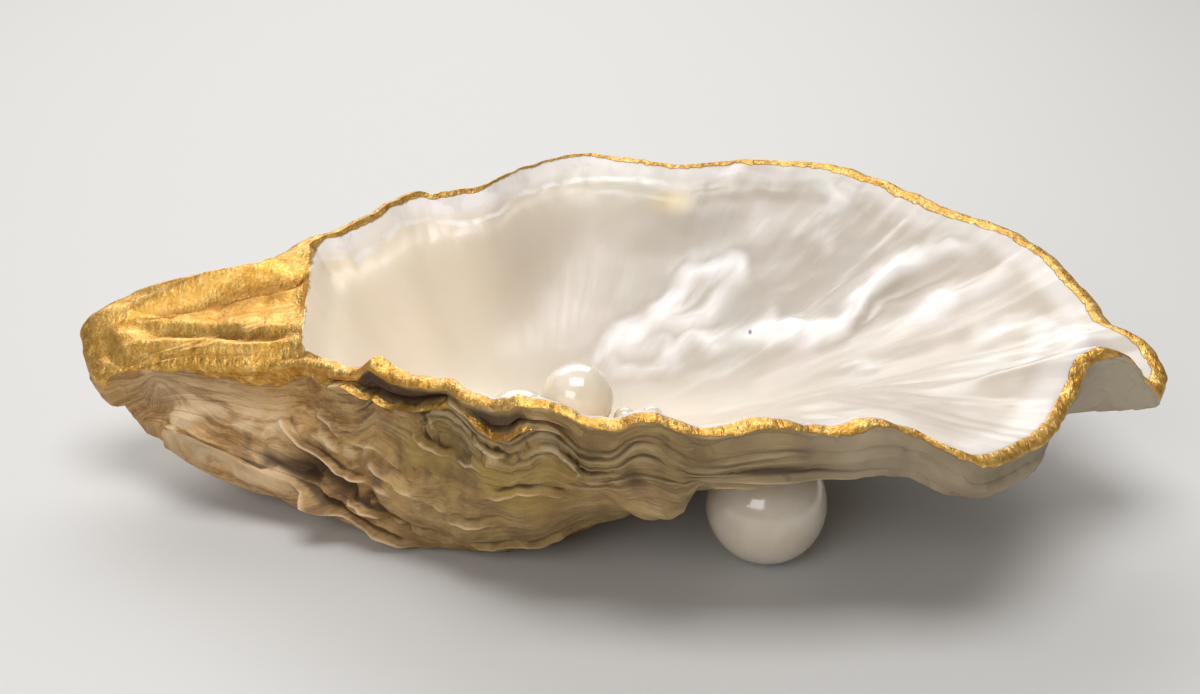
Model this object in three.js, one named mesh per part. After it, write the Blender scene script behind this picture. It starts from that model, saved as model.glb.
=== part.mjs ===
// A trinket dish made from the cupped valve of an oyster. The shell is one grown piece that rests
// on its worn belly and on two pearl feet glued under its frilled end; four pearls lie in the bowl.
import * as THREE from "three";
import { ParametricGeometry } from "three/addons/geometries/ParametricGeometry.js";

// Millimetres. +X runs from the beak to the frilled end, +Y to the back, +Z up, table at z = 0.
// Directions are degrees about MIDDLE, the deepest part of the bowl: 0 is +X and 90 is the back.
const MIDDLE = { x: -6.5, y: -3 };
const COLUMNS = 124;

// The margin of the shell, from the beak along the front, round the frilled end and home: x, y, z.
const MARGIN = [
  [-56.5, -0.5, 15], [-54, -5.5, 14.6], [-50.5, -6.8, 15.6], [-45.5, -8, 17.5], [-38, -10, 18.5],
  [-31.5, -12, 18.1], [-26.5, -17, 18.6], [-24, -19, 19.1], [-22.5, -19.5, 20.1],
  [-21, -20.5, 19.4], [-18, -23, 19.8], [-15, -24.5, 20.1], [-12.5, -27.5, 20.3],
  [-10, -29.5, 20.7], [-7.5, -31.5, 22.1], [-4, -32, 21.7], [-0.5, -33, 20.7], [4, -34, 22.1],
  [9, -34.5, 20.8], [14, -34.5, 22], [19.5, -34, 20.9], [23.5, -33.5, 21.5], [27.5, -33, 20.3],
  [31.5, -34.5, 19], [34.5, -33.5, 18.3], [38, -30, 17.7], [40.5, -27.5, 17.4], [43, -23.5, 17.4],
  [44.5, -21, 18.1], [46.3, -19, 20.3], [48.3, -18, 20.9], [51, -16.8, 20],
  [53.7, -15.2, 17.4], [55.8, -13.5, 14.9], [57.2, -10.8, 15.5], [56.7, -8.2, 17.2], [55, -6.5, 18.4],
  [53.5, -4, 18.2], [53, 0.5, 19], [51.5, 5, 20], [50, 10.5, 21], [46, 16, 22], [42, 18.5, 22.5],
  [38, 23.5, 23], [33.5, 29, 23.5], [28, 31.5, 24.3], [18.5, 32.5, 24.5], [10.5, 32, 24],
  [2.5, 34, 24.5], [-4.5, 33.5, 24.9], [-10.5, 29.5, 24.4], [-15, 24.5, 24], [-20.5, 22.5, 23.6],
  [-23.5, 21.5, 23.8], [-27.5, 17, 23], [-31.5, 13, 22], [-34.5, 11.5, 21.6], [-38, 7.5, 20.5],
  [-43.5, 5.5, 19.5], [-48.5, 5, 18.5], [-53.5, 4, 17], [-56.5, 1.5, 15.8],
];

// Inside: height of the nacre at the middle and on three rings, one value every 30 degrees.
// RIM is the height of the margin without its frills, which run FRILL of the way into the bowl.
const DEEPEST = 3.3;
const INSIDE_AT = [0, 0.3, 0.62, 0.9, 1];
const FLOOR = [5.6, 5.2, 4.6, 4.2, 4.2, 4.4, 4.4, 4.2, 4.2, 4.4, 5.8, 8];
const WALL = [11, 11.4, 11.4, 9.6, 8.4, 8.6, 7.4, 6.6, 6.6, 7.4, 12.8, 16.4];
const BRIM = [15.8, 18.6, 20, 19.6, 18.8, 17, 15.5, 13.5, 14.5, 17.4, 19, 17.8];
const RIM = [18.4, 22.4, 24.5, 24.5, 23.8, 22, 18.6, 18.5, 19.9, 21.4, 21.4, 18.4];
const FRILL = 0.4;

// Gentle folds of the nacre that fan out to the frilled end: direction, half width, rise.
const FOLDS = [[-14, 4, 1.2], [-4, 3.5, 1], [9, 4, 0.8], [22, 5, 0.9], [36, 6, 0.7], [-34, 5, 0.6]];

// The hinge plate fills the beak: its inner edge runs from front to back, with a groove along it.
const PLATE_FRONT = { x: -30.3, y: -12.5, z: 18.8 };
const PLATE_BACK = { x: -32.9, y: 12.5, z: 21.6 };
const GROOVE = { y: -0.5, halfWidth: 3, depth: 1.3 };

// Outside: how far the edge of the margin drops, then the shoulder and the turn of the belly as
// distance from the middle and height, one value every 15 degrees.
const DROP = [
  1.2, 1.4, 1.8, 2, 2, 2.2, 2.4, 2.6, 3, 3, 3, 2,
  1.2, 3.2, 4.5, 5, 5, 5, 5, 4.8, 4.6, 3.6, 2.6, 1.7,
];
const SHOULDER_OUT = [
  52, 51, 46, 42.5, 36, 33.5, 32.5, 29.5, 29, 28.5, 31, 39.5,
  43, 34, 27, 23.6, 22.8, 24.2, 26.2, 28.8, 32.5, 38, 46, 50,
];
const SHOULDER_Z = [
  10.4, 11.6, 13.2, 14.2, 14, 13, 12.2, 11.8, 11.5, 11, 10.5, 10.4,
  9.8, 6.2, 5.8, 6, 6.6, 8, 10, 12.2, 14.2, 15.2, 14, 11.8,
];
const BELLY_OUT = [
  26, 25, 24, 23, 21, 20, 19.5, 19, 19, 19.5, 21, 27,
  33, 26.5, 23.5, 21.4, 19.5, 18.5, 18, 18, 19, 24, 26, 26,
];
const BELLY_Z = [
  5.2, 5.4, 5.2, 5, 4.6, 4.1, 3.6, 3, 2.5, 2.2, 2.2, 3,
  3.6, 1.8, 1, 0.7, 0.6, 1, 1.8, 3.2, 5.6, 12, 12.6, 8,
];
const SCAR_OUT = 11;
const OUTSIDE_AT = [0, 0.16, 0.42, 0.74, 0.92, 1];
const EDGE = 0.7; // half thickness of the rounded edge of the margin

// Growth ledges on the outside: where each free edge lies between the margin and the middle, and
// the flakes that stand out from them: ledge, direction, half width, extra rise.
const LEDGES = [0.08, 0.17, 0.27, 0.37, 0.48, 0.6, 0.73, 0.85];
const LEDGE_STEP = 0.014;
const LEDGE_RISE = 1;
const LEDGE_WANDER = 0.012;
const FLAKES = [[3, 195, 5, 1.8], [5, 213, 5, 2], [2, 298, 5, 1.2], [4, 228, 6, 1.2]];

// Pearls: radius and centre.
const PEARLS = {
  pearl_foot_front: [6, 15.8, -20.4, 6],
  pearl_foot_back: [6, 23.2, 27, 6],
  pearl_large: [4, -3, -1.8, 8],
  pearl_left: [3.6, -9.1, -6.4, 7.65],
  pearl_small_inner: [1.25, 2.2, -2.2, 5.85],
  pearl_small_outer: [1.25, 5.1, -2.6, 6.2],
};

// A value that changes smoothly with direction, from values at equal steps round the shell.
function around(values, degrees) {
  const n = values.length;
  const s = THREE.MathUtils.euclideanModulo(degrees / 360, 1) * n;
  const i = Math.floor(s);
  const f = s - i;
  const [a, b, c, d] = [-1, 0, 1, 2].map((k) => values[(i + k + n) % n]);
  return b + 0.5 * f * (c - a + f * (2 * a - 5 * b + 4 * c - d + f * (3 * (b - c) + d - a)));
}

// A smooth run through values at given places.
function through(places, values, s) {
  const last = places.length - 1;
  const i = Math.min(last - 1, places.filter((p) => p <= s).length - 1);
  const slope = (k) => {
    const [from, to] = [Math.max(0, k - 1), Math.min(last, k + 1)];
    return (values[to] - values[from]) / (places[to] - places[from]);
  };
  const span = places[i + 1] - places[i];
  const f = (s - places[i]) / span;
  const g = 1 - f;
  const start = values[i] * (1 + 2 * f) + slope(i) * span * f;
  const end = values[i + 1] * (3 - 2 * f) - slope(i + 1) * span * g;
  return start * g * g + end * f * f;
}

// A rounded hump in direction, 1 at its middle.
function hump(degrees, middle, halfWidth) {
  const away = THREE.MathUtils.euclideanModulo(degrees - middle + 180, 360) - 180;
  return Math.exp(-((away / halfWidth) ** 2));
}

const marginCurve = new THREE.CatmullRomCurve3(
  MARGIN.map((p) => new THREE.Vector3(...p)), true, "catmullrom", 0.5,
);

// The margin at u, as direction, reach from the middle, and height.
function marginAt(u) {
  const p = marginCurve.getPoint(u % 1);
  const [dx, dy] = [p.x - MIDDLE.x, p.y - MIDDLE.y];
  const angle = Math.atan2(dy, dx);
  return { angle, degrees: THREE.MathUtils.radToDeg(angle), reach: Math.hypot(dx, dy), z: p.z };
}

// A point in the direction of the margin, at a distance from the middle and a height.
function place(rim, out, z, target) {
  return target.set(MIDDLE.x + out * Math.cos(rim.angle), MIDDLE.y + out * Math.sin(rim.angle), z);
}

// Where a ray from the middle meets the inner edge of the hinge plate: how much of the way to the
// margin that is (1 beside the plate), and how high.
function plateEdge(rim) {
  const [ax, ay] = [PLATE_FRONT.x - MIDDLE.x, PLATE_FRONT.y - MIDDLE.y];
  const [ex, ey] = [PLATE_BACK.x - PLATE_FRONT.x, PLATE_BACK.y - PLATE_FRONT.y];
  const [dx, dy] = [Math.cos(rim.angle), Math.sin(rim.angle)];
  const cross = dx * ey - dy * ex;
  const out = (ax * ey - ay * ex) / cross;
  const along = (ax * dy - ay * dx) / cross;
  const share = out / (rim.reach - 2 * EDGE);
  const beside = out <= 0 || along < 0 || along > 1 || share >= 1;
  if (beside) return { share: 1, z: around(RIM, rim.degrees) };
  return { share, z: THREE.MathUtils.lerp(PLATE_FRONT.z, PLATE_BACK.z, along) };
}

// The nacre, or the hinge plate, at a share of the way from the middle to the margin.
function insidePoint(rim, share, target) {
  const plate = plateEdge(rim);
  const rings = [FLOOR, WALL, BRIM].map((ring) => around(ring, rim.degrees));
  place(rim, (rim.reach - 2 * EDGE) * share, 0, target);
  if (share <= plate.share) {
    target.z = through(INSIDE_AT, [DEEPEST, ...rings, plate.z], share / plate.share);
    for (const [degrees, halfWidth, rise] of FOLDS) {
      target.z += 4 * rise * hump(rim.degrees, degrees, halfWidth) * share * share * (1 - share);
    }
  } else {
    const across = (target.y - GROOVE.y) / GROOVE.halfWidth;
    const groove = GROOVE.depth * Math.exp(-across * across) * Math.min(1, 4 * (1 - share));
    target.z = THREE.MathUtils.mapLinear(share, plate.share, 1, plate.z, rim.z) - groove;
  }
  if (plate.share === 1) {
    target.z += (rim.z - plate.z) * THREE.MathUtils.smoothstep(share, 1 - FRILL, 1);
  }
  return target;
}

// The outside without its ledges, as distance from the middle and height.
function outsideBase(rim, share) {
  const [shoulderOut, shoulderZ, bellyOut, bellyZ, drop] = [
    SHOULDER_OUT, SHOULDER_Z, BELLY_OUT, BELLY_Z, DROP,
  ].map((ring) => around(ring, rim.degrees));
  const scarZ = 1.6 * Math.max(0, Math.cos(rim.angle + 0.5)) ** 2 - 0.5;
  const outs = [rim.reach, rim.reach - 0.6, shoulderOut, bellyOut, SCAR_OUT, 0];
  const heights = [rim.z - EDGE, rim.z - EDGE - drop, shoulderZ, bellyZ, scarZ, -0.6];
  return [through(OUTSIDE_AT, outs, share), through(OUTSIDE_AT, heights, share)];
}

// The outside, standing out by a rise; the worn belly is flat on the table.
function outsidePoint(rim, share, rise, target) {
  const [out, z] = outsideBase(rim, share);
  const [outA, zA] = outsideBase(rim, Math.max(0, share - 0.01));
  const [outB, zB] = outsideBase(rim, Math.min(1, share + 0.01));
  const length = Math.hypot(outB - outA, zB - zA) || 1;
  const lifted = z + (rise * (outB - outA)) / length;
  return place(rim, out + (rise * (zA - zB)) / length, Math.max(0, lifted), target);
}

// A growth ledge: the shell flares out to a free edge that faces the margin, then steps back.
function ledgePoint(rim, ledge, stepped, target) {
  const at = LEDGES[ledge] + LEDGE_WANDER * Math.sin(5 * rim.angle + 2.3 * ledge);
  if (stepped) return outsidePoint(rim, at - LEDGE_STEP, 0, target);
  let rise = LEDGE_RISE * (0.7 + 0.3 * Math.sin(3 * rim.angle + 1.7 * ledge));
  for (const [flaked, degrees, halfWidth, extra] of FLAKES) {
    if (flaked === ledge) rise += extra * hump(rim.degrees, degrees, halfWidth);
  }
  return outsidePoint(rim, at, rise * Math.min(1, 0.3 + 2.5 * LEDGES[ledge]), target);
}

// Rows of the shell's skin, from the middle of the nacre over the margin to the middle of the scar.
const BOWL_ROWS = [0, 0.12, 0.24, 0.36, 0.48, 0.6, 0.7, 0.8, 0.88, 0.95, 1];
const PLATE_ROWS = [0.25, 0.5, 0.75, 1];
const rows = [
  ...BOWL_ROWS.map((at) => (rim, split, p) => insidePoint(rim, at * split, p)),
  ...PLATE_ROWS.map((at) => (rim, split, p) => insidePoint(rim, split + (1 - split) * at, p)),
  (rim, split, p) => place(rim, rim.reach - EDGE * 0.3, rim.z - EDGE * 0.2, p),
  (rim, split, p) => outsidePoint(rim, 0, 0, p),
  ...LEDGES.flatMap((at, ledge) => [
    (rim, split, p) => ledgePoint(rim, ledge, true, p),
    (rim, split, p) => ledgePoint(rim, ledge, false, p),
  ]),
  (rim, split, p) => outsidePoint(rim, 1, 0, p),
];

function skin(u, v, target) {
  const rim = marginAt(1 - u);
  const split = Math.min(0.92, plateEdge(rim).share);
  return rows[Math.round(v * (rows.length - 1))](rim, split, target);
}

const dish = new THREE.Group();
dish.name = "oyster_shell_dish";

const shell = new THREE.Mesh(
  new ParametricGeometry(skin, COLUMNS, rows.length - 1),
  new THREE.MeshStandardMaterial({ color: 0xe6ddcc, roughness: 0.35 }),
);
shell.name = "shell";
dish.add(shell);

for (const [name, [radius, x, y, z]] of Object.entries(PEARLS)) {
  const facets = 8 + 2 * Math.round(radius);
  const pearl = new THREE.Mesh(
    new THREE.SphereGeometry(radius, facets, Math.round(facets * 0.6)).rotateX(Math.PI / 2),
    new THREE.MeshStandardMaterial({ color: 0xf1e9dc, roughness: 0.2 }),
  );
  pearl.name = name;
  pearl.position.set(x, y, z);
  dish.add(pearl);
}

export default dish;
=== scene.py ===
import math

import bmesh
import bpy
import numpy as np
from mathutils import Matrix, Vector, noise


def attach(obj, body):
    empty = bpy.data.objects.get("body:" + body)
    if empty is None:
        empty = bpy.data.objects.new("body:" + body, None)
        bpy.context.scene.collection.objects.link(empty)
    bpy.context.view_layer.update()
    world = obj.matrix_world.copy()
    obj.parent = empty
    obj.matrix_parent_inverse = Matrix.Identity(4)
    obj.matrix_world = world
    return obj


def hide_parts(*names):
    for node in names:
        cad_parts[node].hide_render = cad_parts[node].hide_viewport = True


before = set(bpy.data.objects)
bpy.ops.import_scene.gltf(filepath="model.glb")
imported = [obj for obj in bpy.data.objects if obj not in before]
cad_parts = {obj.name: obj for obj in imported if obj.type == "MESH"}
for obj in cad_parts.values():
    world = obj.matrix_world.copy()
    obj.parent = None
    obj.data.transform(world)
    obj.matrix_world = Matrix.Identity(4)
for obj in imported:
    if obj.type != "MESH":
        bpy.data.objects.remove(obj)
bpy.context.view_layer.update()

# The shell: the cupped valve of an oyster, one grown piece of layered lime with nacre inside.
# It grew sheet under sheet, so its outside is a stack of thin ragged ledges round the worn belly,
# and its rim and hinge are brushed with gold paint.

# Margin, in mm: a closed run of stations from the tip of the hinge round the front, how far the rim
# lifts above them, and its chips and nicks, as lump size, seed and amount.
MIDDLE = (-6.5, -3.0)
MARGIN = np.array([
    (-56.5, -0.5, 15), (-54, -5.5, 14.6), (-50.5, -6.8, 15.6), (-45.5, -8, 17.5), (-38, -10, 18.5),
    (-31.5, -12, 18.1), (-26.5, -17, 18.6), (-24, -19, 19.1), (-22.5, -19.5, 20.1),
    (-21, -20.5, 19.4), (-18, -23, 19.8), (-15, -24.5, 20.1), (-12.5, -27.5, 20.3),
    (-10, -29.5, 20.7), (-7.5, -31.5, 22.1), (-4, -32, 21.7), (-0.5, -33, 20.7), (4, -34, 22.1),
    (9, -34.5, 20.8), (14, -34.5, 22), (19.5, -34, 20.9), (23.5, -33.5, 21.5), (27.5, -33, 20.3),
    (31.5, -34.5, 19), (34.5, -33.5, 18.3), (38, -30, 17.7), (40.5, -27.5, 17.4), (43, -23.5, 17.4),
    (44.5, -21, 18.1), (46.3, -19, 20.3), (48.3, -18, 20.9), (51, -16.8, 20),
    (53.7, -15.2, 17.4), (55.8, -13.5, 14.9), (57.2, -10.8, 15.5), (56.7, -8.2, 17.2), (55, -6.5, 18.4),
    (53.5, -4, 18.2), (53, 0.5, 19), (51.5, 5, 20), (50, 10.5, 21), (46, 16, 22), (42, 18.5, 22.5),
    (38, 23.5, 23), (33.5, 29, 23.5), (28, 31.5, 24.3), (18.5, 32.5, 24.5), (10.5, 32, 24),
    (2.5, 34, 24.5), (-4.5, 33.5, 24.9), (-10.5, 29.5, 24.4), (-15, 24.5, 24), (-20.5, 22.5, 23.6),
    (-23.5, 21.5, 23.8), (-27.5, 17, 23), (-31.5, 13, 22), (-34.5, 11.5, 21.6), (-38, 7.5, 20.5),
    (-43.5, 5.5, 19.5), (-48.5, 5, 18.5), (-53.5, 4, 17), (-56.5, 1.5, 15.8),
])
RIM_LIFT = (1.2, 0.5, 0, 0.5, 1.2, 0.9, 1.0, 0.65, 0.6, 0.55, 0.5, 0.4, 0.3, 0.2, 0.5, 0.8,
            0, 0, 0, 0, 0, 0, 0, 0, 0, 0, 0, 0.2, 0.5, 1.2, 1.5)
CHIPS, CHIPPED = ((2.2, 3.1, 0.3), (0.9, 8.4, 0.14)), 0.15
NICKS, NICKED = ((1.7, 5.7, 0.26),), 0.1
EDGE, HINGE_THICKER, HINGE_RUN = 0.7, 1.5, (29, 40)
COLUMNS = 527


def between(values, first, part):
    a, b, c, d = (values[(first + k) % len(values)] for k in (-1, 0, 1, 2))
    return b + 0.5 * part * (c - a + part * (2 * a - 5 * b + 4 * c - d + part * (3 * (b - c) + d - a)))


def around(values, turn):
    values = np.asarray(values, float)
    s = np.mod(turn / 360, 1) * len(values)
    first = np.floor(s).astype(int)
    return between(values, first, s - first)


def ease(s, lo, hi):
    t = np.clip((s - lo) / (hi - lo), 0, 1)
    return t * t * (3 - 2 * t)


def band(s, start, full, fading, end):
    return ease(s, start, full) * (1 - ease(s, fading, end))


def lumps(places, size, seed):
    flat = (places / size + seed).reshape(-1, 3).tolist()
    return np.array([noise.noise(p) for p in flat]).reshape(places.shape[:-1])


def grain(places, sizes):
    return sum(amount * lumps(places, size, seed) for size, seed, amount in sizes)


# Each column is a cut from the middle of the nacre, over the margin, to the middle of the belly.
station = np.linspace(0, len(MARGIN), COLUMNS + 1)
rim_turn = station / len(MARGIN) * 360
first_station = np.floor(station).astype(int)
margin = between(MARGIN, first_station, (station - first_station)[:, None])
angle = np.arctan2(margin[:, 1] - MIDDLE[1], margin[:, 0] - MIDDLE[0])
degrees = np.degrees(angle)
compass = np.mod(degrees, 360)
ring = np.stack([np.cos(angle), np.sin(angle), 0 * angle], axis=1)
reach = np.hypot(margin[:, 0] - MIDDLE[0], margin[:, 1] - MIDDLE[1]) + grain(margin, CHIPS) - CHIPPED
rim_z = margin[:, 2] + grain(margin, NICKS) - NICKED + around(RIM_LIFT, rim_turn)
half_edge = EDGE * (1 + HINGE_THICKER * ease(-margin[:, 0], *HINGE_RUN))
inner_reach = reach - 2 * half_edge


def set_round(out, z):
    return np.stack([MIDDLE[0] + out * ring[:, :1], MIDDLE[1] + out * ring[:, 1:2], z], axis=2)


def facing(direction):
    return np.cos(np.radians(degrees - direction))


# Nacre: its height at the middle and on rings, every 30 degrees, then the folds that fan out to the
# frilled end and the creases of the silky part, as lines in plan, half width and rise.
DEEPEST = 3.3
INSIDE_AT = (0, 0.3, 0.62, 0.9, 1)
FLOOR = (5.6, 5.2, 4.6, 4.2, 4.2, 4.4, 4.4, 4.2, 4.2, 4.4, 5.8, 8)
WALL = (11, 11.4, 11.4, 9.6, 8.4, 8.6, 7.4, 6.6, 6.6, 7.4, 12.8, 16.4)
BRIM = (15.8, 18.6, 20, 19.6, 18.8, 17, 15.5, 13.5, 14.5, 17.4, 19, 17.8)
RIM = (18.4, 22.4, 24.5, 24.5, 23.8, 22, 18.6, 18.5, 19.9, 21.4, 21.4, 18.4)
FRILL_FRONT, FRILL_BACK, FRILL_BACK_TOWARDS = 0.26, 0.14, 115
FOLD_GAIN = 4
FOLDS = ((-14, 4, 1.2), (-4, 3.5, 1), (9, 4, 0.8), (22, 5, 0.9), (36, 6, 0.7), (-34, 5, 0.6))
CREASES = (
    (((-2, 12), (4.2, 15.6), (8, 18.6), (11.3, 20.7), (17.5, 22)), 1.2, 0.7),
    (((17.5, 22), (16, 18.8), (12.1, 15.2), (4.2, 15.1)), 1.1, 0.45),
    (((1, 13), (1.3, 9.6), (3.6, 8.6), (7.7, 8.5), (6.8, 12.2), (1, 13)), 1.1, 0.4),
    (((7.7, 8.5), (10.4, 12.1), (13.9, 10.5), (19.7, 8)), 1.1, 0.4),
    (((20.6, 15.3), (18.7, 10.7), (23.3, 8.7), (26.3, 8.9), (32.3, 13.2), (37.4, 14.2), (44.7, 14)),
     1.4, 0.8),
    (((27.5, 27.8), (30.5, 27.4), (33.5, 26.7)), 1.2, 0.45),
    (((27.5, 27.8), (26.2, 22.3), (24.8, 18.7)), 1.6, 0.3),
    (((33.7, 5.5), (37, 8.4), (39.1, 9.2)), 1.3, 0.45),
    (((35.5, 5.2), (39.8, 7.7), (47.4, 7.8)), 1.6, 0.45),
    (((26.3, 1.5), (29.8, -0.6)), 1.0, 0.35),
    (((38.3, -0.1), (43.1, 0.6), (47.5, -0.2)), 1.7, 0.4),
    (((44.4, -2), (50.6, -5.4)), 1.2, 0.35),
    (((36.7, -15.8), (46, -6.2), (52.5, -6.6)), 1.2, 0.45),
    (((27.1, 7.2), (33.4, 10.5), (43.4, 11.9)), 1.3, -0.5),
    (((17.9, 17), (22.2, 17.8), (26.5, 20)), 2.0, -0.4),
    (((20.6, -23.2), (34.4, -16.5)), 1.5, -0.3),
)
CREASE_SHAKE = ((5.0, 4.1, 3, 1.3), (1.8, 7.7, 1, 0.5))
CREASE_END, CREASE_WEAR = (0.93, 1), ((3.0, 5.2, 0.8),)
GLEAM_WIDER, GLEAM, GLEAM_WEAR, GLEAM_SHARES = 2.0, 0.9, ((3.6, 9.2, 0.9),), (0.45, 0.6)
SILK_FROM, SILK_BAND = (-6, 14), (0.2, 0.4, 0.9, 1)
SILK_BROAD, SILK_BROAD_STRETCH = ((4.2, 6.3, 0.16),), (0.8, 1.5, 0)
SILK_FINE, SILK_FINE_STRETCH = ((1.9, 1.9, 0.07),), (0.8, 1.6, 0)
SHELF, SHELF_TOWARDS, SHELF_END, SHELF_START = 0.45, 95, (3.4, 5.0), (0.2, 2.5)
CRINKLES, CRINKLE_TOWARDS, CRINKLE_BAND = ((0.12, 4.4, 0.16),), 11.46, (0.55, 0.9, 0.96, 1)
RAYS_ROUND, RAYS_ALONG = 3.2, 0.35
WRINKLES, WRINKLE_BAND = ((2.1, 3.3, 0.3), (1.0, 5.3, 0.16)), (0.3, 1.5, 3.6, 5.4)
BOWL_ROWS, BOWL_CROWDING, BOWL_MOST = 62, 1.12, 0.92
RIM_AVERAGE, UNEVEN_X, UNEVEN_DOWN = 59, (-30, -18), (0.62, 0.97)

# Hinge plate: its inner edge, the trough of the ligament, the rounding along the front and the
# grooves and ribs beside the trough.
PLATE_FRONT = (-30.3, -12.5, 18.8)
PLATE_BACK = (-32.9, 12.5, 21.6)
GROOVE_Y, GROOVE_HALF, GROOVE_DEPTH, GROOVE_FADE = -0.5, 3.0, 1.3, 4
PLATE_ROUND, PLATE_ROUND_RUN = 1.5, 4.5
PLATE_ROUND_X, PLATE_ROUND_Y = (28, 36), (-1, 4)
HINGE_LINES = (
    (((-31.5, 3.6), (-34.3, 2.7), (-39.6, 2.4), (-43.8, 1.0), (-47.8, 0.7), (-51.5, 0.4)), 0.7, -1.2),
    (((-30.5, -8.4), (-34.2, -7.7), (-37.5, -6.9), (-41.2, -4.4), (-44.9, -3.3), (-47.7, -2.4),
      (-50.9, -1)), 0.8, -1.0),
    (((-32, 7.5), (-40, 4.8), (-47, 3.6), (-54, 2.2)), 1.8, 1.0),
    (((-32, -3), (-38, -2.5), (-45, -1.2), (-51, -0.4)), 2.2, 0.5),
    (((-41.5, 2), (-41.2, -4)), 0.5, -0.3),
    (((-46.8, 1), (-46.2, -3)), 0.5, -0.35),
    (((-36.3, 2.5), (-36, -5.5)), 0.4, -0.25),
)
LINE_BAND = (0, 0.15, 0.8, 1)
PLATE_LUMPS, PLATE_STRETCH, PLATE_SMOOTH = ((1.3, 2.2, 0.16),), (1, 0.35, 1), (0.85, 1)
PLATE_ROWS = 26
FAR = 1e9


def through(places, values, s):
    last = len(places) - 1
    slopes = []
    for k in range(last + 1):
        lo, hi = max(0, k - 1), min(last, k + 1)
        slopes.append((values[hi] - values[lo]) / (places[hi] - places[lo]))
    run = 0
    for k in range(last):
        span = places[k + 1] - places[k]
        f = (s - places[k]) / span
        g = 1 - f
        piece = (values[k] * (1 + 2 * f) + slopes[k] * span * f) * g * g
        piece = piece + (values[k + 1] * (3 - 2 * f) - slopes[k + 1] * span * g) * f * f
        run = piece if k == 0 else np.where(s >= places[k], piece, run)
    return run


def hump(middle, half):
    away = np.mod(degrees - middle + 180, 360) - 180
    return np.exp(-(away / half) ** 2)


def averaged(values, weights):
    run = np.convolve(np.pad(values[:-1], len(weights) // 2, "wrap"), weights, "valid")
    return run[np.arange(COLUMNS + 1) % COLUMNS]


def shaken(places, sizes):
    shifts = [
        sum(amount * lumps(places, size, seed + k * step) for size, seed, step, amount in sizes)
        for k in (0, 1)
    ]
    return [places[..., k] + shifts[k] for k in (0, 1)]


def line_relief(x, y, lines):
    relief = np.zeros_like(x)
    for points, half, rise in lines:
        nearest = np.full_like(x, FAR)
        strength = np.zeros_like(x)
        steps = len(points) - 1
        for k in range(steps):
            (ax, ay), (bx, by) = points[k], points[k + 1]
            dx, dy = bx - ax, by - ay
            t = np.clip(((x - ax) * dx + (y - ay) * dy) / (dx * dx + dy * dy), 0, 1)
            away = np.hypot(x - ax - t * dx, y - ay - t * dy)
            along = (k + t) / steps
            fade = np.minimum(1, 0.2 + 4 * np.minimum(along, 1 - along))
            closer = away < nearest
            strength = np.where(closer, fade, strength)
            nearest = np.where(closer, away, nearest)
        relief += rise * strength * np.exp(-(nearest / half) ** 2)
    return relief


# Where each column crosses the inner edge of the hinge plate.
from_x, from_y = PLATE_FRONT[0] - MIDDLE[0], PLATE_FRONT[1] - MIDDLE[1]
edge_x, edge_y = PLATE_BACK[0] - PLATE_FRONT[0], PLATE_BACK[1] - PLATE_FRONT[1]
across = ring[:, 0] * edge_y - ring[:, 1] * edge_x
plate_out = (from_x * edge_y - from_y * edge_x) / across
plate_along = (from_x * ring[:, 1] - from_y * ring[:, 0]) / across
plate_share = plate_out / inner_reach
no_plate = (plate_out <= 0) | (plate_along < 0) | (plate_along > 1) | (plate_share >= 1)
plate_z = PLATE_FRONT[2] + (PLATE_BACK[2] - PLATE_FRONT[2]) * plate_along
plate_z = np.where(no_plate, around(RIM, degrees), plate_z)
plate_share = np.where(no_plate, 1.0, plate_share)[:, None]
plate_front = (ease(-margin[:, 0], *PLATE_ROUND_X) * ease(-margin[:, 1], *PLATE_ROUND_Y))[:, None]

# The bowl, from its middle to the plate or the rim. Single chips of the margin don't reach down it.
split = np.minimum(BOWL_MOST, plate_share)
bowl = 1 - (1 - np.linspace(0, 1, BOWL_ROWS + 1)) ** BOWL_CROWDING
hinge = np.linspace(0, 1, PLATE_ROWS + 1)[1:]
share = np.concatenate([split * bowl, split + (1 - split) * hinge], axis=1)
out = inner_reach[:, None] * share
inside = set_round(out, 0 * out)
uneven = reach / averaged(reach, np.ones(RIM_AVERAGE) / RIM_AVERAGE) - 1
uneven = (uneven * ease(margin[:, 0], *UNEVEN_X))[:, None] * (1 - ease(share, *UNEVEN_DOWN))
rings_z = [around(values, degrees)[:, None] for values in (FLOOR, WALL, BRIM)]
heights = [np.full_like(rings_z[0], DEEPEST)] + rings_z + [plate_z[:, None]]
nacre_z = through(INSIDE_AT, heights, share / plate_share * (1 + uneven))
for middle, half, rise in FOLDS:
    nacre_z += FOLD_GAIN * rise * hump(middle, half)[:, None] * share ** 2 * (1 - share)

# The left of the bowl is levelled in plan, as new nacre levels what lies under it: heights are spread
# over a grid of small cells, in rows of y and columns of x, and read back between the cells.
CELL, CELL_SPREAD, SPREAD_HALF = 0.6, 4.5, 14
GRID_CORNER, GRID_CELLS = (-42, -66), (142, 222)
LEVEL_FROM_EDGE, LEVEL_TO_X = (0.8, 5.0), (6, 30)
plan = (inside[..., 1::-1] - GRID_CORNER) / CELL
cell = np.floor(plan).astype(int)
cell_y, cell_x = cell[..., 0], cell[..., 1]
weight = (share <= plate_share + 1e-6) * (out + 0.5)
sums = np.zeros((2,) + GRID_CELLS)
np.add.at(sums[0], (cell_y, cell_x), weight * nacre_z)
np.add.at(sums[1], (cell_y, cell_x), weight)
kernel = np.exp(-(np.arange(-SPREAD_HALF, SPREAD_HALF + 1) / CELL_SPREAD) ** 2)
for axis in (1, 2):
    sums = np.apply_along_axis(np.convolve, axis, sums, kernel, "same")
level = sums[0] / np.maximum(sums[1], 1e-9)
off_centre = plan - cell - 0.5
next_y, next_x = np.moveaxis(cell + np.where(off_centre < 0, -1, 1), 2, 0)
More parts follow.
